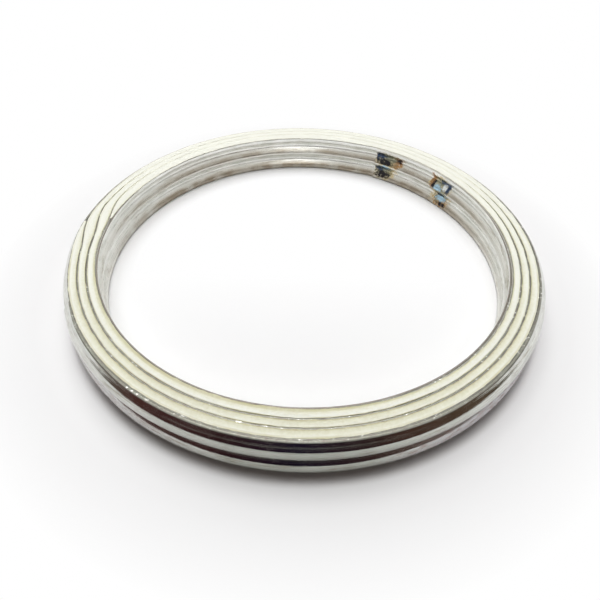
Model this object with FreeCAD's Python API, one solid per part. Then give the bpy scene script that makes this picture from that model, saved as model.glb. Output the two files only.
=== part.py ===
import FreeCAD, Part
import math
import os

# Spiral-wound exhaust gasket, in millimetres and degrees. One steel strip of W section is
# wound round and round, and a soft filler strip lies between its middle turns.
# The origin is the centre of the face that the ring rests on, and +Z runs up the bore.

# Ring
bore_radius = 25.0
gasket_height = 5.3

# Steel strip, and the W that is rolled into it between two plain lips
strip_thickness = 0.2
lip_height = 0.3
wave_depth = 0.75
wave_count = 2

# Filler strip, which stands a little above the steel's edges
filler_thickness = 0.75
filler_stand = 0.1

# Clearances between steel and steel, and between filler and steel
turn_gap = 0.03
filler_gap = 0.02

# Turns of each kind, from the bore outwards
inner_plain_turns = 1
filler_turns = 3
outer_plain_turns = 1

# Places round the ring, as angles from +X seen from above
inner_end_angle = 64.0
seam_angle = 178.0
outer_end_angle = 206.0

# Climb from turn to turn: over the strip's own end, and over the filler at the seam.
# Each turn climbs at the seam a little sooner than the one before.
end_climb = 8.0
seam_climb = 16.0
seam_advance = 5.0
filler_tip_inset = 4.0

# Spot welds that hold each end of the strip to the turn beside it
welds_per_end = 2
weld_width = 2.4
weld_height = 1.2
weld_setback = 2.2
weld_spacing = 9.2

# Worked out from the sizes above. A winding angle is the angle wound since the strip's
# inner end. The strip winds clockwise.
full_turn = 360.0
half_turn = 180.0
strip_bottom = filler_stand
strip_top = gasket_height - filler_stand
wave_bottom = strip_bottom + lip_height
fold_height = (strip_top - strip_bottom - 2 * lip_height) / (2 * wave_count)
fold_heights = [wave_bottom + fold * fold_height for fold in range(2 * wave_count + 1)]
crest_heights = fold_heights[1::2]
plain_pitch = strip_thickness + turn_gap
filled_pitch = strip_thickness + filler_thickness + 2 * filler_gap
filler_start = inner_plain_turns * full_turn + (inner_end_angle - seam_angle) % full_turn
strip_turns = inner_plain_turns + filler_turns + outer_plain_turns
strip_finish = strip_turns * full_turn + (inner_end_angle - outer_end_angle) % full_turn
climb_stations = 7
centre = FreeCAD.Vector(0, 0, 0)
up = FreeCAD.Vector(0, 0, 1)


def strip_climbs():
    """Each climb of the strip: its start and finish in winding angle, and its rise."""
    climbs = []
    for turn in range(1, inner_plain_turns + 1):
        climbs.append((turn * full_turn - end_climb, turn * full_turn, plain_pitch))
    for turn in range(filler_turns + outer_plain_turns):
        start = filler_start + turn * (full_turn - seam_advance)
        rise = filled_pitch if turn < filler_turns else plain_pitch
        climbs.append((start, start + seam_climb, rise))
    return climbs


def strip_front(winding):
    """Lip radius of the steel's inner side."""
    radius = bore_radius
    for start, finish, rise in strip_climbs():
        share = min(max((winding - start) / (finish - start), 0.0), 1.0)
        radius += rise * share * share * (3 - 2 * share)
    return radius


def strip_back(winding):
    """Lip radius of the steel's outer side."""
    return strip_front(winding) + strip_thickness


def filler_front(winding):
    """Lip radius of the filler's inner side, on the steel wound one turn before."""
    return strip_back(winding - full_turn) + filler_gap


def filler_back(winding):
    """Lip radius of the filler's outer side, under the steel that covers it."""
    return strip_front(winding) - filler_gap


def wave_offset(height):
    """How far the rolled W stands outwards from the lips at a height."""
    folds = min(max((height - wave_bottom) / fold_height, 0.0), 2.0 * wave_count)
    return wave_depth * (1 - abs(folds % 2 - 1))


def section(front, back, heights, winding):
    """Closed outline that follows the W between two lip radii, at its place in the winding."""
    front_side = [FreeCAD.Vector(front + wave_offset(height), 0, height) for height in heights]
    back_side = [FreeCAD.Vector(back + wave_offset(height), 0, height) for height in heights]
    outline = Part.makePolygon(front_side + back_side[::-1] + front_side[:1])
    outline.rotate(centre, up, inner_end_angle - winding)
    return outline


def climbing_spans(start, finish, climbs):
    """The spans in which a band climbs, with those that meet joined."""
    spans = []
    for low, high, rise in sorted(climbs):
        low = max(low, start)
        high = min(high, finish)
        if low < high and spans and low <= spans[-1][1]:
            spans[-1][1] = max(high, spans[-1][1])
        elif low < high:
            spans.append([low, high])
    return spans


def climbing_skin(front, back, heights, low, high):
    """Skin of a band where it climbs."""
    outlines = []
    for station in range(climb_stations):
        winding = low + (high - low) * station / (climb_stations - 1)
        outlines.append(section(front(winding), back(winding), heights, winding))
    return Part.makeLoft(outlines, False, False).Faces


def round_skin(front, back, heights, low, high):
    """Skin of a band where it runs true round the bore, in pieces of half a turn at most."""
    faces = []
    pieces = math.ceil((high - low) / half_turn)
    step = (high - low) / pieces
    for piece in range(pieces):
        outline = section(front(low), back(low), heights, low + piece * step)
        faces += outline.revolve(centre, up, -step).Faces
    return faces


def wound_band(front, back, heights, start, finish, climbs):
    """A wound strip as one solid."""
    faces = []
    reached = start
    for low, high in climbing_spans(start, finish, climbs):
        if low > reached:
            faces += round_skin(front, back, heights, reached, low)
        faces += climbing_skin(front, back, heights, low, high)
        reached = high
    if reached < finish:
        faces += round_skin(front, back, heights, reached, finish)
    for winding in (start, finish):
        faces.append(Part.Face(section(front(winding), back(winding), heights, winding)))
    shell = Part.makeShell(faces)
    shell.sewShape()
    return Part.makeSolid(shell)


def weld_pads(winding):
    """Melted steel between a turn and the next one out, at each crest of the W."""
    span = math.degrees(weld_width / strip_back(winding))
    front = strip_front(winding) + strip_thickness / 2
    back = strip_front(winding + full_turn) + strip_thickness / 2
    pads = []
    for crest in crest_heights:
        heights = [crest - weld_height / 2, crest, crest + weld_height / 2]
        outline = section(front, back, heights, winding - span / 2)
        pads.append(Part.Face(outline).revolve(centre, up, -span))
    return pads


def winding_strip():
    """The steel strip, with the spot welds that hold its ends."""
    heights = [strip_bottom] + fold_heights + [strip_top]
    band = wound_band(strip_front, strip_back, heights, 0, strip_finish, strip_climbs())
    pads = []
    last_turn = strip_finish - full_turn
    for weld in range(welds_per_end):
        distance = weld_setback + weld * weld_spacing
        pads += weld_pads(math.degrees(distance / strip_back(0)))
        pads += weld_pads(last_turn - math.degrees(distance / strip_back(strip_finish)))
    return band.multiFuse(pads)


def filler_strip():
    """The filler strip, tapered at both ends where the steel climbs over it."""
    heights = [0] + fold_heights + [gasket_height]
    strip = strip_climbs()
    climbs = strip + [(low + full_turn, high + full_turn, rise) for low, high, rise in strip]
    last_climb = strip[inner_plain_turns + filler_turns - 1]
    start = filler_start + filler_tip_inset
    finish = last_climb[1] + full_turn - filler_tip_inset
    return wound_band(filler_front, filler_back, heights, start, finish, climbs)


os.makedirs("parts", exist_ok=True)
winding_strip().exportStep("parts/winding_strip.step")
filler_strip().exportStep("parts/filler_strip.step")
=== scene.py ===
import math
import bpy
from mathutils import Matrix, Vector, noise


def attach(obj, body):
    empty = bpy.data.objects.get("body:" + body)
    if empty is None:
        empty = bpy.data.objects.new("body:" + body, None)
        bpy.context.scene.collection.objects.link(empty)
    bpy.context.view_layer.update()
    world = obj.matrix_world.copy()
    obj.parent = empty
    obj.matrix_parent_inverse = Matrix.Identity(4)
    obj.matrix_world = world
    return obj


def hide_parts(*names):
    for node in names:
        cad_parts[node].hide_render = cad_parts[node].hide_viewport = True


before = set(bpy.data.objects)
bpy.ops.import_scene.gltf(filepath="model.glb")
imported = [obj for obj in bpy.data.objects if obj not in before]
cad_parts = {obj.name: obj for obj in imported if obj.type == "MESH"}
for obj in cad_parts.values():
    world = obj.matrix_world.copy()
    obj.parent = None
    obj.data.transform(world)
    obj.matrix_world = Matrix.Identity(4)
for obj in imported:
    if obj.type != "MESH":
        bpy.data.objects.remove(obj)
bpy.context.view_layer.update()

millimetre = 0.001

# how the two strips are wound, in millimetres and degrees
winding = {
    "boreRadius": 25.0,
    "ringHeight": 5.3,
    "steelThickness": 0.2,
    "edgeInset": 0.06,
    "turnGap": 0.03,
    "fillerGap": 0.02,
    "filledRises": (0.95, 1.04, 0.98),
    "innerEnd": 64.0,
    "seam": 178.0,
    "outerEnd": 206.0,
    "endClimb": 8.0,
    "seamClimb": 16.0,
    "seamAdvance": 5.0,
    "fillerTip": 4.0,
    "wobble": 0.03,
    "wobbleNoise": (2.2, 2.2, 4.0),
}
plainPitch = winding["steelThickness"] + winding["turnGap"]
filledTurns = len(winding["filledRises"])
fillerStart = 360 + (winding["innerEnd"] - winding["seam"]) % 360
steelFinish = 360 * (filledTurns + 2) + (winding["innerEnd"] - winding["outerEnd"]) % 360
steelBottom = winding["edgeInset"]
steelTop = winding["ringHeight"] - winding["edgeInset"]


def listClimbs():
    climbs = [(360 - winding["endClimb"], 360, plainPitch)]
    for turn, rise in enumerate((*winding["filledRises"], plainPitch)):
        start = fillerStart + turn * (360 - winding["seamAdvance"])
        climbs.append((start, start + winding["seamClimb"], rise))
    return climbs


steelClimbs = listClimbs()


def easeBetween(low, high, value):
    share = min(max((value - low) / (high - low), 0.0), 1.0)
    return share * share * (3 - 2 * share)


def unevenAt(rates, first, second=1.0, third=1.0):
    # smooth noise, where the rates say how fast it changes with each value
    return noise.noise(Vector((first * rates[0], second * rates[1], third * rates[2])))


def steelRadius(wound):
    # lip radius of the steel's inner side at a winding angle, with the slight wobble of a real ring
    radius = winding["boreRadius"]
    for start, finish, rise in steelClimbs:
        radius += rise * easeBetween(start, finish, wound)
    around = math.radians(winding["innerEnd"] - wound)
    wobble = unevenAt(winding["wobbleNoise"], math.cos(around), math.sin(around))
    return radius + winding["wobble"] * (wobble - 1) / 2


# the rolled W: even and round on the first turns, blunter crests with a sharp fold between on the last
wave = {
    "evenDepth": 0.66,
    "evenLip": 0.34,
    "bluntDepth": 0.745,
    "crests": (1.36, 3.76),
    "bend": 0.95,
    "bendReach": 0.95,
    "unbend": 0.52,
    "crestWander": 0.012,
    "crestNoise": (0.05, 1.0, 9.0),
    "depthWander": 0.012,
    "depthNoise": (0.04, 0.5, 3.0),
    "changeFrom": 620,
    "changeTo": 1330,
}


def evenWave(height):
    low = steelBottom + wave["evenLip"]
    share = min(max((height - low) / (steelTop - wave["evenLip"] - low), 0.0), 1.0)
    return wave["evenDepth"] * (1 - math.cos(4 * math.pi * share)) / 2


def bluntWave(height, wound):
    wander = unevenAt(wave["crestNoise"], wound) * wave["crestWander"]
    away = min(abs(height + wander - crest) for crest in wave["crests"])
    near = min(away, wave["bendReach"])
    far = away - near
    drop = wave["bend"] * near * near / 2 + wave["bend"] * wave["bendReach"] * far - wave["unbend"] * far * far / 2
    sunk = wave["depthWander"] * (0.5 + 0.5 * unevenAt(wave["depthNoise"], wound, height))
    return wave["bluntDepth"] - sunk - drop


def waveOffset(height, wound):
    blunt = easeBetween(wave["changeFrom"], wave["changeTo"], wound)
    return evenWave(height) * (1 - blunt) + bluntWave(height, wound) * blunt


def placeOnRing(wound, radius, height):
    around = math.radians(winding["innerEnd"] - wound)
    return Vector((radius * math.cos(around), radius * math.sin(around), height)) * millimetre


def bandGrid(name, steps, sides):
    # a plain grid, one metre square, that is bent into a wound band afterwards
    bpy.ops.object.select_all(action="DESELECT")
    bpy.ops.mesh.primitive_grid_add(x_subdivisions=steps, y_subdivisions=sides, size=1, location=(0, 0, 0))
    band = bpy.context.object
    band.name = name
    band.data.name = name
    return band


def closeBand(band, smoothAngle):
    # join the long seam, cap both ends and turn the faces outwards
    bpy.ops.object.mode_set(mode="EDIT")
    bpy.ops.mesh.select_all(action="SELECT")
    bpy.ops.mesh.remove_doubles(threshold=1e-7)
    bpy.ops.mesh.select_all(action="DESELECT")
    bpy.ops.mesh.select_mode(type="EDGE")
    bpy.ops.mesh.select_non_manifold()
    bpy.ops.mesh.fill_holes(sides=0)
    bpy.ops.mesh.select_all(action="SELECT")
    bpy.ops.mesh.normals_make_consistent(inside=False)
    bpy.ops.mesh.select_mode(type="VERT")
    bpy.ops.object.mode_set(mode="OBJECT")
    bpy.ops.object.shade_smooth_by_angle(angle=math.radians(smoothAngle))


def floatAttribute(piece, name, values):
    layer = piece.data.attributes.new(name, "FLOAT", "POINT")
    layer.data.foreach_set("value", values)


# the steel strip
steel = {
    "stepAngle": 2.0,
    "heightSteps": 40,
    "edgeRound": 0.04,
    "edgeWander": 0.05,
    "slowNoise": (0.09, 7.0, 0.0),
    "slowShare": 0.6,
    "quickNoise": (0.9, 3.0, 0.0),
    "quickShare": 0.4,
    "edgeSink": 0.5,
    "smoothAngle": 50,
    "endPress": 0.6,
    "endReach": 7.0,
    "weldSetback": 2.2,
    "weldSpacing": 9.2,
    "weldReach": 1.3,
    "weldDent": 0.05,
    "weldSink": 0.4,
    "weldPucker": 1.2,
    "weldNoise": (0.9, 4.0, 2.0),
    "outerWeldRadius": 28.5,
}


def steelSection():
    # points round the section as (height, thickness share, edge share), up the bore side and down the other
    low = steelBottom + steel["edgeRound"]
    high = steelTop - steel["edgeRound"]
    heights = [low + (high - low) * step / steel["heightSteps"] for step in range(steel["heightSteps"] + 1)]
    inset = steel["edgeRound"] / winding["steelThickness"]
    points = [(height, 0.0, 0.0) for height in heights]
    points += [(steelTop, inset, 1.0), (steelTop, 1 - inset, 1.0)]
    points += [(height, 1.0, 0.0) for height in reversed(heights)]
    points += [(steelBottom, 1 - inset, 1.0), (steelBottom, inset, 1.0)]
    return points


def weldDip(wound, height):
    # the surface sinks and puckers where a spot weld pinched two turns together
    dip = 0.0
    for place in range(2):
        reach = steel["weldSetback"] + place * steel["weldSpacing"]
        innerSpot = math.degrees(reach / winding["boreRadius"])
        outerSpot = steelFinish - math.degrees(reach / steel["outerWeldRadius"])
        for spot in (innerSpot, outerSpot):
            along = math.radians(abs(wound - spot)) * winding["boreRadius"]
            for crest in wave["crests"]:
                away = math.hypot(along, height - crest) / steel["weldReach"]
                pucker = steel["weldPucker"] * unevenAt(steel["weldNoise"], wound, height)
                dip += max(1 - away, 0.0) * steel["weldDent"] * (steel["weldSink"] + pucker)
    return dip


def makeSteelStrip():
    section = steelSection()
    sides = len(section)
    steps = round(steelFinish / steel["stepAngle"])
    band = bandGrid("steelStrip", steps, sides)
    edges = []
    for vertex in band.data.vertices:
        wound = (vertex.co.x + 0.5) * steelFinish
        height, across, edge = section[round((vertex.co.y + 0.5) * sides) % sides]
        pressed = 1 - steel["endPress"] * easeBetween(steelFinish - steel["endReach"], steelFinish, wound)
        radius = steelRadius(wound) + across * winding["steelThickness"] * pressed
        radius += waveOffset(height, wound) - weldDip(wound, height)
        if height > steelTop - 2 * steel["edgeRound"]:
            slow = steel["slowShare"] * unevenAt(steel["slowNoise"], wound)
            quick = steel["quickShare"] * unevenAt(steel["quickNoise"], wound)
            height += steel["edgeWander"] * (slow + quick - steel["edgeSink"])
        vertex.co = placeOnRing(wound, radius, height)
        edges.append(edge)
    floatAttribute(band, "cutEdge", edges)
    closeBand(band, steel["smoothAngle"])
    return band


# the filler strip. The starts and finishes are in degrees wound since the filler begins.
filler = {
    "stepAngle": 1.0,
    "waveSteps": 16,
    "topSteps": 10,
    "smoothAngle": 60,
    "rimStand": 0.35,
    "middleStand": 0.65,
    "lump": 0.04,
    "lumpNoise": (0.4, 3.0, 2.0),
    "lumpShare": 0.5,
    "fibreNoise": (2.1, 7.0, 5.0),
    "fibreShare": 0.3,
    "lumpSink": 0.25,
    "lumpAtRim": 0.3,
    "lap": 0.11,
    "raggedNoise": (0.33, 9.0, 8.0),
    "frayNoise": (1.7, 9.0, 6.0),
    "frayShare": 0.9,
    "lapLift": 0.02,
    "leastStand": 0.006,
    "headroom": 0.002,
    "collarLap": 0.22,
    "collarStart": (0, 22),
    "collarFinish": (330, 360),
    "bareShare": 0.9,
    "bareStart": (150, 180),
    "bareFinish": (235, 270),
    "backLap": 0.21,
    "backReach": (-0.1, 0.6),
    "outerLap": 0.12,
    "outerStart": (690, 740),
    "mostLap": 0.23,
}


def fillerSection():
    # points round the section as (height, thickness share, face), up the inner side, over the top and down
    low = steelBottom + wave["evenLip"]
    high = steelTop - wave["evenLip"]
    heights = [low + (high - low) * step / filler["waveSteps"] for step in range(filler["waveSteps"] + 1)]
    top = [step / filler["topSteps"] for step in range(filler["topSteps"] + 1)]
    points = [(height, 0.0, 0) for height in heights] + [(steelTop, 0.0, 0)]
    points += [(steelTop, share, 1) for share in top]
    points += [(steelTop, 1.0, 0)] + [(height, 1.0, 0) for height in reversed(heights)] + [(steelBottom, 1.0, 0)]
    points += [(steelBottom, 1 - share, -1) for share in top] + [(steelBottom, 0.0, 0)]
    return points


def easeAlongFiller(span, wound):
    return easeBetween(fillerStart + span[0], fillerStart + span[1], wound)


def fillerFace(wound, across, face):
    # how far the open face of the filler stands above the steel's edge, and how far it laps over the edge
    lump = filler["lumpShare"] * unevenAt(filler["lumpNoise"], wound, across, face)
    fibre = filler["fibreShare"] * unevenAt(filler["fibreNoise"], wound, across, face)
    ragged = unevenAt(filler["raggedNoise"], wound, across, face)
    fray = filler["frayShare"] * unevenAt(filler["frayNoise"], wound, across, face)
    swell = 4 * across * (1 - across)
    domed = filler["rimStand"] + filler["middleStand"] * swell
    stand = filler["lapLift"] / 2 + (winding["edgeInset"] - filler["lapLift"]) * domed
    stand += filler["lump"] * (lump + fibre - filler["lumpSink"]) * (filler["lumpAtRim"] + swell)
    lap = filler["lap"] * (ragged + fray)
    if across == 0.0:
        # the first turn of filler is pressed out over the edge of the plain turn inside it
        collar = filler["collarLap"] * easeAlongFiller(filler["collarStart"], wound)
        collar *= 1 - easeAlongFiller(filler["collarFinish"], wound)
        # to the right of the front it leaves the edge bare
        bare = easeAlongFiller(filler["bareStart"], wound) - easeAlongFiller(filler["bareFinish"], wound)
        collar *= 1 - filler["bareShare"] * bare
        lap = min(-lap, 0.0) - collar
    else:
        # towards the back of the ring it covers the steel's edge almost wholly
        behind = easeBetween(*filler["backReach"], math.sin(math.radians(winding["innerEnd"] - wound)))
        lastBand = easeAlongFiller(filler["outerStart"], wound)
        covered = max(filler["backLap"] * behind, filler["outerLap"] * lastBand)
        lap = min(max(lap, 0.0) + covered, filler["mostLap"]) if across == 1.0 else 0.0
    return min(max(stand, filler["leastStand"]), winding["edgeInset"] - filler["headroom"]), lap


def makeFillerStrip():
    section = fillerSection()
    sides = len(section)
    start = fillerStart + winding["fillerTip"]
    finish = steelClimbs[filledTurns][1] + 360 - winding["fillerTip"]
    steps = round((finish - start) / filler["stepAngle"])
    band = bandGrid("fillerStrip", steps, sides)
    acrossShares = []
    for vertex in band.data.vertices:
        wound = start + (vertex.co.x + 0.5) * (finish - start)
        height, across, face = section[round((vertex.co.y + 0.5) * sides) % sides]
        front = steelRadius(wound - 360) + winding["steelThickness"] + winding["fillerGap"]
        front += waveOffset(height, wound - 360)
        back = steelRadius(wound) - winding["fillerGap"] + waveOffset(height, wound)
        radius = front + across * (back - front)
        if face:
            stand, lap = fillerFace(wound, across, face)
            height += face * stand
            radius += lap
        vertex.co = placeOnRing(wound, radius, height)
        acrossShares.append(across)
    floatAttribute(band, "acrossBand", acrossShares)
    closeBand(band, filler["smoothAngle"])
    return band


# materials
def newMaterial(name):
    material = bpy.data.materials.new(name)
    material.use_nodes = True
    tree = material.node_tree
    return material, tree, tree.nodes["Principled BSDF"]


def addNode(tree, kind, **settings):
    node = tree.nodes.new(kind)
    for key, value in settings.items():
        setattr(node, key, value)
    return node


def colourRamp(tree, source, stops):
    ramp = addNode(tree, "ShaderNodeValToRGB")
    elements = ramp.color_ramp.elements
    while len(elements) < len(stops):
        elements.new(0.5)
    for element, (position, colour) in zip(elements, stops):
        element.position = position
        element.color = (*colour, 1.0)
    tree.links.new(source, ramp.inputs["Fac"])
    return ramp.outputs["Color"]


def noiseOf(tree, vector, scale, detail=5.0, roughness=0.5):
    texture = addNode(tree, "ShaderNodeTexNoise")
    texture.inputs["Scale"].default_value = scale
    texture.inputs["Detail"].default_value = detail
    texture.inputs["Roughness"].default_value = roughness
    tree.links.new(vector, texture.inputs["Vector"])
    return texture.outputs["Fac"]


def stretched(tree, vector, scale):
    mapping = addNode(tree, "ShaderNodeMapping")
    mapping.inputs["Scale"].default_value = scale
    tree.links.new(vector, mapping.inputs["Vector"])
    return mapping.outputs["Vector"]


def mathOf(tree, operation, *values):
    node = addNode(tree, "ShaderNodeMath", operation=operation)
    for slot, value in enumerate(values):
        if isinstance(value, (int, float)):
            node.inputs[slot].default_value = value
        else:
            tree.links.new(value, node.inputs[slot])
    return node.outputs[0]


def productOf(tree, first, *others):
    for other in others:
        first = mathOf(tree, "MULTIPLY", first, other)
    return first


def splitOf(tree, vector):
    split = addNode(tree, "ShaderNodeSeparateXYZ")
    tree.links.new(vector, split.inputs[0])
    return split.outputs


def strokesOf(tree, uv, scale, detail, roughness):
    # noise that is drawn out along the strip
    return noiseOf(tree, stretched(tree, uv, scale), 1.0, detail, roughness)


def rangeOf(tree, source, fromLow, fromHigh, toLow, toHigh):
    node = addNode(tree, "ShaderNodeMapRange")
    for name, value in (("From Min", fromLow), ("From Max", fromHigh), ("To Min", toLow), ("To Max", toHigh)):
        node.inputs[name].default_value = value
    tree.links.new(source, node.inputs["Value"])
    return node.outputs[0]


def mixColour(tree, factor, first, second, blend="MIX"):
    node = addNode(tree, "ShaderNodeMix", data_type="RGBA", blend_type=blend)
    tree.links.new(factor, node.inputs["Factor"])
    for name, value in (("A", first), ("B", second)):
        if isinstance(value, tuple):
            node.inputs[name].default_value = (*value, 1.0)
        else:
            tree.links.new(value, node.inputs[name])
    return node.outputs["Result"]


def bumpOf(tree, shader, height, strength, distance):
    bump = addNode(tree, "ShaderNodeBump")
    bump.inputs["Strength"].default_value = strength
    bump.inputs["Distance"].default_value = distance
    tree.links.new(height, bump.inputs["Height"])
    tree.links.new(bump.outputs["Normal"], shader.inputs["Normal"])
    return bump


# tones and finishes of the steel. A row of four is a fade: from a place or share, to another,
# and the strength at each. A list of pairs is a ramp of tones. Strokes and noises are a scale,
# for strokes along and across the strip, and then detail and roughness.
steelLook = {
    "sheen": [(0.38, (0.76, 0.77, 0.72)), (0.60, (0.94, 0.94, 0.90))],
    "sheenShares": (0.5, 0.5),
    "grainShares": (0.4, 0.6),
    "lines": ((60.0, 110.0, 1.0), 4.0, 0.6),
    "scratches": ((420.0, 160.0, 1.0), 5.0, 0.65),
    "patches": 420.0,
    "stain": (0.42, 0.38, 0.30),
    "stains": ((150.0, 18.0, 1.0), 5.0, 0.7),
    "stainFade": (0.53, 0.70, 0.0, 0.85),
    "outsideFade": (0.48, 0.50, 0.0, 1.0),
    # painted shade on the outside, strongest in front
    "paintedShadeOutside": (0.40, 0.415, 0.395),
    "shadeInFront": (-0.0285, -0.014, 1.0, 0.75),
    "shadeToSides": (0.005, 0.020, 1.0, 0.55),
    # painted reflection of the dark room, a sooty brown, in the bore's grooves
    "soot": (0.37, 0.32, 0.25),
    "reflectionToBack": (-0.002, 0.014, 0.15, 1.0),
    "reflectionPatches": (0.3, 0.55, 0.4, 1.0),
    "reflectionCore": 0.4,
    # painted shade at the foot of the outside
    "footShade": (0.20, 0.13, 0.09),
    "footShadeFade": (0.0008, 0.00115, 0.85, 0.0),
    "film": (0.72, 0.71, 0.73),
    "filmRight": (0.007, 0.016, 0.0, 1.0),
    "filmLeft": (-0.020, -0.008, 0.55, 0.0),
    "filmTop": (0.0026, 0.0031, 1.0, 0.0),
    "filmShare": 0.9,
    "filmDulls": 0.55,
    "rustStreak": (0.34, 0.17, 0.13),
    "streaks": ((700.0, 90.0, 1.0), 5.0, 0.7),
    "streakFade": (0.49, 0.60, 0.0, 1.0),
    "rustInFilm": 0.75,
    "rustAnywhere": 0.16,
    "rustDulls": 0.6,
    # the sheared edge's tones, from painted shade of the gap beside it up to painted glints
    "cutEdge": [
        (0.36, (0.20, 0.18, 0.16)), (0.50, (0.25, 0.25, 0.215)),
        (0.60, (0.25, 0.25, 0.215)), (0.67, (0.90, 0.89, 0.86))],
    # painted highlight on the sheared edge, on the inner turns and at the back
    "paintedEdgeHighlight": (0.60, 0.58, 0.52),
    # painted shade along the rim of the bore
    "paintedRimShade": (0.20, 0.18, 0.16),
    "speckle": (2200.0, 4.0, 0.7),
    "edgeFade": (0.05, 0.35, 0.0, 1.0),
    "highlightInnerTurns": (0.28, 0.36, 0.2, 0.0),
    "pastFirstTurn": (0.172, 0.182, 0.0, 1.0),
    "highlightBehind": (0.0, 0.02, 0.0, 0.8),
    "rimShadeFades": [(0.466, 0.471, 0.0, 1.0), (0.488, 0.493, 1.0, 0.0)],
    "rimShadeOnFirstTurn": (0.175, 0.180, 0.9, 0.0),
    "rimShadeInFront": (0.0, 0.018, 1.0, 0.0),
    "outerRoughness": (0.3, 0.7, 0.03, 0.07),
    "boreRoughness": (0.3, 0.7, 0.24, 0.34),
    "edgeRoughness": (0.62, 0.72, 0.34, 0.02),
    "boreMetallic": 0.88,
    "outerBump": 0.10,
    "boreBump": 0.40,
    "bumpDistance": 0.00004,
}
# painted reflection of the dark brown room in the bore: height, half height and share
boreBrownReflections = [(0.45, 0.75, 1.0), (2.95, 0.45, 0.80)]
straw, rust, navy = (0.72, 0.58, 0.28), (0.40, 0.20, 0.07), (0.05, 0.075, 0.13)
# white is a painted glint, and the pale blue is blue heat tint lightened as a painted highlight
soot, blueTintAndHighlight, olive, white = (0.03, 0.028, 0.032), (0.45, 0.66, 0.82), (0.27, 0.28, 0.21), (0.90, 0.95, 0.98)
heatLook = {
    "ragged": (2300.0, 5.0, 0.7),
    "raggedShare": 5.0,
    "spotFade": (2.8, 3.8, 1.0, 0.0),
}
# heat marks at the inner end, with painted glints among them in white and pale blue: millimetres from the end, height,
# half length, half height and colour
heatMarks = [
    (2.1, 3.5, 2.4, 1.2, straw), (1.6, 1.5, 1.8, 1.2, straw), (11.7, 3.3, 1.9, 1.7, straw),
    (12.0, 1.4, 1.7, 1.3, straw), (3.6, 3.6, 1.0, 0.9, rust), (1.9, 3.7, 1.8, 1.0, olive),
    (1.4, 1.5, 1.4, 1.1, olive), (10.3, 3.5, 0.45, 1.6, rust), (11.8, 3.2, 1.5, 1.3, olive),
    (12.2, 1.0, 1.4, 0.9, rust), (12.0, 1.4, 1.2, 0.9, olive), (0.8, 3.9, 0.9, 0.8, navy),
    (1.6, 3.1, 1.3, 0.45, soot), (3.9, 3.9, 0.5, 0.5, soot), (1.4, 0.9, 1.3, 0.5, soot),
    (0.7, 1.9, 0.6, 0.6, navy), (1.9, 2.2, 0.9, 0.5, blueTintAndHighlight), (11.2, 2.8, 0.9, 0.6, blueTintAndHighlight),
    (10.5, 3.0, 0.3, 0.7, soot), (12.2, 4.0, 1.0, 0.4, navy), (12.6, 3.3, 0.6, 0.4, white),
    (13.2, 3.4, 0.35, 0.9, navy), (11.8, 1.8, 0.9, 0.5, soot), (12.2, 1.2, 0.9, 0.35, blueTintAndHighlight),
    (12.7, 0.6, 0.8, 0.3, soot),
]


def paintHeatMarks(tree, colour, along, height, place):
    # a ragged spot of its own colour for every mark, one over the other
    along = mathOf(tree, "MULTIPLY", along, math.radians(steelFinish) * winding["boreRadius"])
    height = mathOf(tree, "MULTIPLY", height, 1 / millimetre)
    ragged = noiseOf(tree, place, *heatLook["ragged"])
    for markAlong, markHeight, halfLength, halfHeight, markColour in heatMarks:
        sideways = mathOf(tree, "DIVIDE", mathOf(tree, "SUBTRACT", along, markAlong), halfLength)
        upright = mathOf(tree, "DIVIDE", mathOf(tree, "SUBTRACT", height, markHeight), halfHeight)
        squared = mathOf(tree, "ADD", productOf(tree, sideways, sideways), productOf(tree, upright, upright))
        distorted = mathOf(tree, "MULTIPLY_ADD", ragged, heatLook["raggedShare"], squared)
        colour = mixColour(tree, rangeOf(tree, distorted, *heatLook["spotFade"]), colour, markColour)
    return colour


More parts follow.
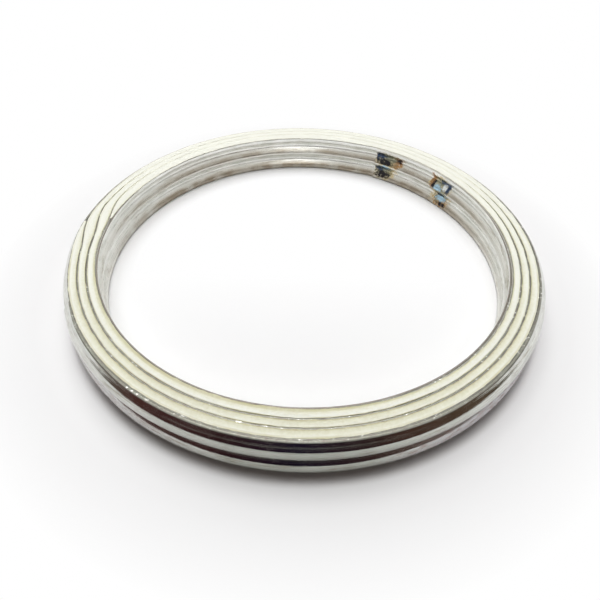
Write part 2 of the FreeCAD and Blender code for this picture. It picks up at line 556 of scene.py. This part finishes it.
def makeSteelMaterial():
    material, tree, shader = newMaterial("rolledSteel")
    link = tree.links.new
    coordinates = addNode(tree, "ShaderNodeTexCoord")
    uv, place = coordinates.outputs["UV"], coordinates.outputs["Object"]
    uvSplit, placeSplit = splitOf(tree, uv), splitOf(tree, place)

    def fade(source, name):
        return rangeOf(tree, source, *steelLook[name])

    # long rolling lines, patchy dulling and brown stains
    lines = strokesOf(tree, uv, *steelLook["lines"])
    scratches = strokesOf(tree, uv, *steelLook["scratches"])
    patches = noiseOf(tree, place, steelLook["patches"])
    lineShare, patchShare = steelLook["sheenShares"]
    sheen = mathOf(tree, "MULTIPLY_ADD", lines, lineShare, productOf(tree, patches, patchShare))
    tone = colourRamp(tree, sheen, steelLook["sheen"])
    stains = strokesOf(tree, uv, *steelLook["stains"])
    tone = mixColour(tree, fade(stains, "stainFade"), tone, steelLook["stain"])
    # painted shade: the outside is darkened, most of all in front, to dim what it mirrors
    outside = fade(uvSplit["Y"], "outsideFade")
    fromMiddle = mathOf(tree, "ABSOLUTE", placeSplit["X"])
    shadedOutside = productOf(tree, outside, fade(placeSplit["Y"], "shadeInFront"), fade(fromMiddle, "shadeToSides"))
    tone = mixColour(tree, shadedOutside, tone, steelLook["paintedShadeOutside"], "MULTIPLY")
    # painted reflection: a sooty brown in the lower part of each groove of the bore, towards the back, where the steel
    # faces up to the dark room
    inBore = mathOf(tree, "SUBTRACT", 1.0, outside)
    reflectionPlace = productOf(tree, inBore, fade(placeSplit["Y"], "reflectionToBack"))
    for reflectionHeight, reflectionReach, reflectionShare in boreBrownReflections:
        away = mathOf(tree, "ABSOLUTE", mathOf(tree, "SUBTRACT", placeSplit["Z"], reflectionHeight * millimetre))
        reach = reflectionReach * millimetre
        reflectedBrown = rangeOf(tree, away, reach * steelLook["reflectionCore"], reach, reflectionShare, 0.0)
        reflectedBrown = productOf(tree, reflectedBrown, reflectionPlace, fade(patches, "reflectionPatches"))
        tone = mixColour(tree, reflectedBrown, tone, steelLook["soot"])
    # painted shade: brown darkening under the lower bulge, where the ring meets the sheet
    tone = mixColour(tree, productOf(tree, fade(placeSplit["Z"], "footShadeFade"), outside), tone, steelLook["footShade"])
    # a pale film low on the wall to both sides of the front, and rust streaks along the outside
    filmed = mathOf(tree, "ADD", fade(placeSplit["X"], "filmRight"), fade(placeSplit["X"], "filmLeft"))
    film = productOf(tree, outside, filmed, fade(placeSplit["Z"], "filmTop"))
    tone = mixColour(tree, productOf(tree, film, steelLook["filmShare"]), tone, steelLook["film"])
    streaky = fade(strokesOf(tree, uv, *steelLook["streaks"]), "streakFade")
    rustShare = mathOf(tree, "MULTIPLY_ADD", film, steelLook["rustInFilm"], steelLook["rustAnywhere"])
    rusted = productOf(tree, outside, streaky, rustShare)
    tone = mixColour(tree, rusted, tone, steelLook["rustStreak"])
    tone = paintHeatMarks(tree, tone, uvSplit["X"], placeSplit["Z"], place)
    # the sheared edge is dull and speckled, darker in part as painted shade of the gap beside it, with a few bright
    # burrs as painted glints, and a painted highlight on the inner turns and at the back
    edge = addNode(tree, "ShaderNodeAttribute", attribute_name="cutEdge").outputs["Fac"]
    onEdge = fade(edge, "edgeFade")
    speckle = noiseOf(tree, place, *steelLook["speckle"])
    edgeTone = colourRamp(tree, speckle, steelLook["cutEdge"])
    # painted highlight on the edges of the inner turns and towards the back
    innerTurns = productOf(tree, fade(uvSplit["X"], "highlightInnerTurns"), fade(uvSplit["X"], "pastFirstTurn"))
    behind = fade(placeSplit["Y"], "highlightBehind")
    edgeTone = mixColour(tree, mathOf(tree, "MAXIMUM", innerTurns, behind), edgeTone, steelLook["paintedEdgeHighlight"])
    tone = mixColour(tree, onEdge, tone, edgeTone)
    # painted shade: a dark line along the rim of the bore, on its first turn and in front, for the shade of the groove
    # between filler and steel
    rimShadeLow, rimShadeHigh = (rangeOf(tree, uvSplit["Y"], *rimShadeFade) for rimShadeFade in steelLook["rimShadeFades"])
    paintedRimShade = productOf(tree, rimShadeLow, rimShadeHigh, fade(uvSplit["X"], "rimShadeOnFirstTurn"))
    tone = mixColour(tree, productOf(tree, paintedRimShade, fade(placeSplit["Y"], "rimShadeInFront")), tone, steelLook["paintedRimShade"])
    link(tone, shader.inputs["Base Color"])
    # roughness: cleaner outside, duller in the bore, dull on the sheared edge
    lineShare, scratchShare = steelLook["grainShares"]
    grain = mathOf(tree, "MULTIPLY_ADD", lines, lineShare, productOf(tree, scratches, scratchShare))
    boreRough = fade(grain, "boreRoughness")
    outerRough = fade(grain, "outerRoughness")
    rough = mathOf(tree, "MULTIPLY_ADD", outside, mathOf(tree, "SUBTRACT", outerRough, boreRough), boreRough)
    rough = mathOf(tree, "MULTIPLY_ADD", onEdge, fade(speckle, "edgeRoughness"), rough)
    link(rough, shader.inputs["Roughness"])
    # a dull film of oxide inside the bore, and duller metal under film and rust
    metalShare = mathOf(tree, "MAXIMUM", outside, onEdge)
    metallic = rangeOf(tree, metalShare, 0.0, 1.0, steelLook["boreMetallic"], 1.0)
    rustDulls = productOf(tree, rusted, steelLook["rustDulls"])
    coated = mathOf(tree, "MULTIPLY_ADD", film, steelLook["filmDulls"], rustDulls)
    link(mathOf(tree, "SUBTRACT", metallic, coated), shader.inputs["Metallic"])
    ridges = mathOf(tree, "ADD", grain, lines)
    bump = bumpOf(tree, shader, ridges, steelLook["boreBump"], steelLook["bumpDistance"])
    link(rangeOf(tree, outside, 0.0, 1.0, steelLook["boreBump"], steelLook["outerBump"]), bump.inputs["Strength"])
    return material


# tones of the filler, with fades, ramps and strokes as above
fillerLook = {
    # the ramp runs from painted shade, dark and yellow in the fold beside each steel edge, to pale cream across each
    # band
    "cream": [
        (0.00, (0.52, 0.47, 0.30)), (0.16, (0.66, 0.63, 0.44)), (0.36, (0.76, 0.75, 0.57)),
        (0.66, (0.87, 0.865, 0.71)), (0.95, (0.95, 0.955, 0.86))],
    "stain": (0.60, 0.56, 0.32),
    "roughness": 0.9,
    "specular": 0.15,
    "mottle": (2800.0, 5.0, 0.75),
    "fibres": ((900.0, 90.0, 1.0), 6.0, 0.7),
    "clouds": (160.0, 3.0),
    "weaveShares": (0.8, 0.35, 0.5),
    "weaveMiddle": 0.78,
    "paintedLightToBack": (-0.022, 0.022, 0.0, 0.7),
    "paintedLightFirstBand": (0.31, 0.34, 0.22, 0.0),
    "acrossShare": 0.65,
    "foldShadeFade": (0.0, 0.2, 0.0, 0.2),
    "besideFade": (0.34, 0.5, 0.0, 0.9),
    "patchyFade": (0.35, 0.6, 0.2, 1.0),
    "stainAndShadeInFront": (-0.01, 0.015, 1.0, 0.15),
    "bump": (0.5, 0.00008),
}


def makeFillerMaterial():
    material, tree, shader = newMaterial("creamFiller")
    shader.inputs["Roughness"].default_value = fillerLook["roughness"]
    shader.inputs["Specular IOR Level"].default_value = fillerLook["specular"]
    coordinates = addNode(tree, "ShaderNodeTexCoord")
    uv, place = coordinates.outputs["UV"], coordinates.outputs["Object"]
    front = splitOf(tree, place)["Y"]

    def fade(source, name):
        return rangeOf(tree, source, *fillerLook[name])

    across = addNode(tree, "ShaderNodeAttribute", attribute_name="acrossBand").outputs["Fac"]
    mottle = noiseOf(tree, place, *fillerLook["mottle"])
    fibres = strokesOf(tree, uv, *fillerLook["fibres"])
    clouds = noiseOf(tree, place, *fillerLook["clouds"])
    mottleShare, fibreShare, cloudShare = fillerLook["weaveShares"]
    weave = mathOf(tree, "MULTIPLY_ADD", fibres, fibreShare, productOf(tree, clouds, cloudShare))
    weave = mathOf(tree, "MULTIPLY_ADD", mottle, mottleShare, weave)
    # painted light and shade: the bands are paler towards the back of the ring and on the first band, and their folds
    # darker and yellower towards the front
    paintedLighter = mathOf(tree, "ADD", fade(front, "paintedLightToBack"), fade(splitOf(tree, uv)["X"], "paintedLightFirstBand"))
    inwards = mathOf(tree, "ADD", fade(across, "foldShadeFade"), paintedLighter)
    inwards = mathOf(tree, "MULTIPLY_ADD", across, fillerLook["acrossShare"], inwards)
    shade = mathOf(tree, "ADD", inwards, mathOf(tree, "SUBTRACT", weave, fillerLook["weaveMiddle"]))
    tone = colourRamp(tree, shade, fillerLook["cream"])
    # yellow staining beside the steel's edges, in front, deepened as painted shade along the edges
    fromMiddle = mathOf(tree, "ABSOLUTE", mathOf(tree, "SUBTRACT", across, 0.5))
    stainedAndShaded = productOf(tree, fade(clouds, "patchyFade"), fade(front, "stainAndShadeInFront"), fade(fromMiddle, "besideFade"))
    tone = mixColour(tree, stainedAndShaded, tone, fillerLook["stain"])
    tree.links.new(tone, shader.inputs["Base Color"])
    bumpOf(tree, shader, mathOf(tree, "ADD", mottle, fibres), *fillerLook["bump"])
    return material


# the stage: white sheet, room reflections, lamps and camera
stageSettings = {
    "floorSize": 4.0,
    "floorColour": (0.88, 0.88, 0.885),
    "floorRoughness": 0.8,
    "sheetFade": (0.0335, 0.041, 0.0, 1.0),
    "boreFade": (0.022, 0.024, 1.0, 0.0),
    "boreToBack": (-0.017, -0.002, 0.0, 1.0),
    # a painted contact shadow on the sheet in front of the ring: its colour and fades
    "paintedShadowColour": (0.15, 0.11, 0.09),
    "paintedShadowInside": (0.0262, 0.0268, 0.0, 1.0),
    "paintedShadowOutside": (0.0288, 0.0304, 0.55, 0.0),
    "paintedShadowInFront": (-0.024, -0.010, 1.0, 0.0),
    "ambient": (0.02, 0.015, 0.012),
    "roomRadius": 0.8,
    "roomFoot": 0.0005,
    "roomNoise": (6.0, 3.0),
    "roomUneven": 0.04,
    "roomSideDrop": 0.13,
    "cameraPlace": (0.0, -50.54, 45.24),
    "cameraTurn": (44.454, -0.8485, 1.2844),
    "cameraLens": 30.49,
    "cameraSensor": 36,
    "cameraClip": (0.001, 20),
}
# lamps: name, azimuth and elevation in degrees, distance and size in metres, watts
lamps = [
    ("lampOverhead", 100, 85, 0.7, 0.15, 1.6),
    ("softboxAbove", 100, 75, 0.72, 0.7, 3.0),
    ("softboxBehind", 118, 50, 0.55, 0.42, 0.52),
    ("lampFront", -84, 50, 0.45, 0.035, 0.13),
]
# what the steel mirrors of the room, round from behind by the left, the front and the right
lowRoom = [
    (0.00, (1.00, 1.00, 0.98)), (0.10, (0.80, 0.80, 0.77)), (0.20, (0.50, 0.50, 0.45)), (0.25, (0.18, 0.18, 0.15)),
    (0.32, (0.10, 0.04, 0.035)), (0.42, (0.06, 0.02, 0.025)), (0.50, (0.022, 0.014, 0.04)), (0.62, (0.10, 0.05, 0.035)),
    (0.70, (0.13, 0.09, 0.06)), (0.75, (0.15, 0.15, 0.13)), (0.82, (0.50, 0.50, 0.48)), (0.90, (1.00, 1.00, 0.98)),
]
highRoom = [
    (0.00, (1.00, 1.00, 0.99)), (0.20, (0.80, 0.80, 0.78)), (0.40, (0.70, 0.68, 0.64)), (0.50, (0.72, 0.72, 0.70)),
    (0.60, (0.70, 0.68, 0.64)), (0.80, (0.85, 0.85, 0.84)), (1.00, (1.00, 1.00, 0.99)),
]
# how far the tone has gone from the low to the high one, by elevation in degrees
roomRise = [(18.0, 0.0), (19.0, 0.28), (23.5, 0.30), (30.0, 1.0)]


def makeFloor():
    bpy.ops.object.select_all(action="DESELECT")
    bpy.ops.mesh.primitive_plane_add(size=stageSettings["floorSize"], location=(0, 0, 0))
    floor = bpy.context.object
    floor.name = "floorSheet"
    material, tree, shader = newMaterial("whiteSheet")
    shader.inputs["Roughness"].default_value = stageSettings["floorRoughness"]
    place = addNode(tree, "ShaderNodeTexCoord").outputs["Object"]
    length = addNode(tree, "ShaderNodeVectorMath", operation="LENGTH")
    tree.links.new(place, length.inputs[0])
    distance, front = length.outputs["Value"], splitOf(tree, place)["Y"]

    def fade(source, name):
        return rangeOf(tree, source, *stageSettings[name])

    # painted shadow: the sheet is brownish where the ring touches it in front, standing in for the ring's contact
    # shadow
    shadowedSheet = productOf(
        tree, fade(distance, "paintedShadowOutside"), fade(distance, "paintedShadowInside"), fade(front, "paintedShadowInFront"))
    sheetTone = mixColour(tree, shadowedSheet, stageSettings["floorColour"], stageSettings["paintedShadowColour"])
    tree.links.new(sheetTone, shader.inputs["Base Color"])
    # away from the ring, and in the back of the bore, the camera and the steel see the sheet as plain white
    inBore = productOf(tree, fade(distance, "boreFade"), fade(front, "boreToBack"))
    lightPath = addNode(tree, "ShaderNodeLightPath")
    seen = mathOf(tree, "MAXIMUM", lightPath.outputs["Is Camera Ray"], lightPath.outputs["Is Glossy Ray"])
    seen = productOf(tree, mathOf(tree, "ADD", fade(distance, "sheetFade"), inBore), seen)
    white = addNode(tree, "ShaderNodeEmission")
    blend = addNode(tree, "ShaderNodeMixShader")
    for source, slot in ((seen, 0), (shader.outputs[0], 1), (white.outputs[0], 2)):
        tree.links.new(source, blend.inputs[slot])
    tree.links.new(blend.outputs[0], tree.nodes["Material Output"].inputs["Surface"])
    floor.data.materials.append(material)


def makeRoom():
    # a half sphere that only mirrors see: dark low down in front, paler higher up and behind
    radius = stageSettings["roomRadius"]
    bpy.ops.object.select_all(action="DESELECT")
    bpy.ops.mesh.primitive_uv_sphere_add(segments=48, ring_count=24, radius=radius, location=(0, 0, 0))
    room = bpy.context.object
    room.name = "roomDome"
    bpy.ops.object.mode_set(mode="EDIT")
    bpy.ops.mesh.select_all(action="SELECT")
    bpy.ops.mesh.bisect(plane_co=(0, 0, stageSettings["roomFoot"]), plane_no=(0, 0, 1), clear_inner=True)
    bpy.ops.object.mode_set(mode="OBJECT")
    material, tree, shader = newMaterial("roomTones")
    tree.nodes.remove(shader)
    glow = addNode(tree, "ShaderNodeEmission")
    tree.links.new(glow.outputs[0], tree.nodes["Material Output"].inputs["Surface"])
    place = addNode(tree, "ShaderNodeTexCoord").outputs["Object"]
    split = splitOf(tree, place)
    turned = mathOf(tree, "ARCTAN2", split["X"], mathOf(tree, "MULTIPLY", split["Y"], -1.0))
    azimuth = rangeOf(tree, turned, -math.pi, math.pi, 0.0, 1.0)
    rise = mathOf(tree, "ARCSINE", mathOf(tree, "DIVIDE", split["Z"], radius))
    clouds = mathOf(tree, "SUBTRACT", noiseOf(tree, place, *stageSettings["roomNoise"]), 0.5)
    rise = mathOf(tree, "MULTIPLY_ADD", clouds, stageSettings["roomUneven"], rise)
    # the paler part hangs lower to the sides
    sideways = mathOf(tree, "DIVIDE", split["X"], radius)
    sideways = productOf(tree, sideways, sideways)
    rise = mathOf(tree, "MULTIPLY_ADD", sideways, stageSettings["roomSideDrop"], rise)
    stops = [(elevation / 90, (share, share, share)) for elevation, share in roomRise]
    high = colourRamp(tree, mathOf(tree, "DIVIDE", rise, math.pi / 2), stops)
    tone = mixColour(tree, high, colourRamp(tree, azimuth, lowRoom), colourRamp(tree, azimuth, highRoom))
    tree.links.new(tone, glow.inputs["Color"])
    room.data.materials.append(material)
    room.visible_camera = False
    room.visible_diffuse = False
    room.visible_shadow = False


def aimAt(thing, target):
    thing.rotation_mode = "QUATERNION"
    thing.rotation_quaternion = (Vector(target) - thing.location).to_track_quat("-Z", "Y")


def onDome(azimuth, elevation, distance):
    flat = math.cos(math.radians(elevation)) * distance
    return Vector((
        flat * math.cos(math.radians(azimuth)),
        flat * math.sin(math.radians(azimuth)),
        distance * math.sin(math.radians(elevation)),
    ))


def makeLamp(name, azimuth, elevation, distance, size, watts):
    bpy.ops.object.light_add(type="AREA", location=onDome(azimuth, elevation, distance))
    lamp = bpy.context.object
    lamp.name = name
    lamp.data.shape = "DISK"
    lamp.data.size = size
    lamp.data.energy = watts
    aimAt(lamp, (0, 0, 0))


def makeWorld():
    # the world lights the room softly, and is plain white where the camera or a mirror sees it
    world = bpy.data.worlds.new("studioWorld")
    bpy.context.scene.world = world
    world.use_nodes = True
    tree = world.node_tree
    sky = tree.nodes["Background"]
    rays = addNode(tree, "ShaderNodeLightPath").outputs
    mirrored = mathOf(tree, "MAXIMUM", rays["Is Glossy Ray"], rays["Is Transmission Ray"])
    seen = mathOf(tree, "MAXIMUM", rays["Is Camera Ray"], mirrored)
    tree.links.new(mixColour(tree, seen, stageSettings["ambient"], (1.0, 1.0, 1.0)), sky.inputs["Color"])
    sky.inputs["Strength"].default_value = 1.0


def makeStage():
    makeFloor()
    makeRoom()
    makeWorld()
    for lamp in lamps:
        makeLamp(*lamp)
    bpy.ops.object.camera_add()
    camera = bpy.context.object
    camera.name = "photoCamera"
    camera.location = Vector(stageSettings["cameraPlace"]) * millimetre
    camera.rotation_euler = [math.radians(turn) for turn in stageSettings["cameraTurn"]]
    camera.data.lens = stageSettings["cameraLens"]
    camera.data.sensor_width = stageSettings["cameraSensor"]
    camera.data.clip_start, camera.data.clip_end = stageSettings["cameraClip"]
    bpy.context.scene.camera = camera
    bpy.context.scene.view_settings.view_transform = "Standard"


steelStrip = makeSteelStrip()
steelStrip.data.materials.append(makeSteelMaterial())
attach(steelStrip, "root")
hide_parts("winding_strip")
print("steel strip wound:", len(steelStrip.data.polygons), "faces")

fillerStrip = makeFillerStrip()
fillerStrip.data.materials.append(makeFillerMaterial())
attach(fillerStrip, "root")
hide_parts("filler_strip")
print("filler strip wound:", len(fillerStrip.data.polygons), "faces")

makeStage()
print("stage set")
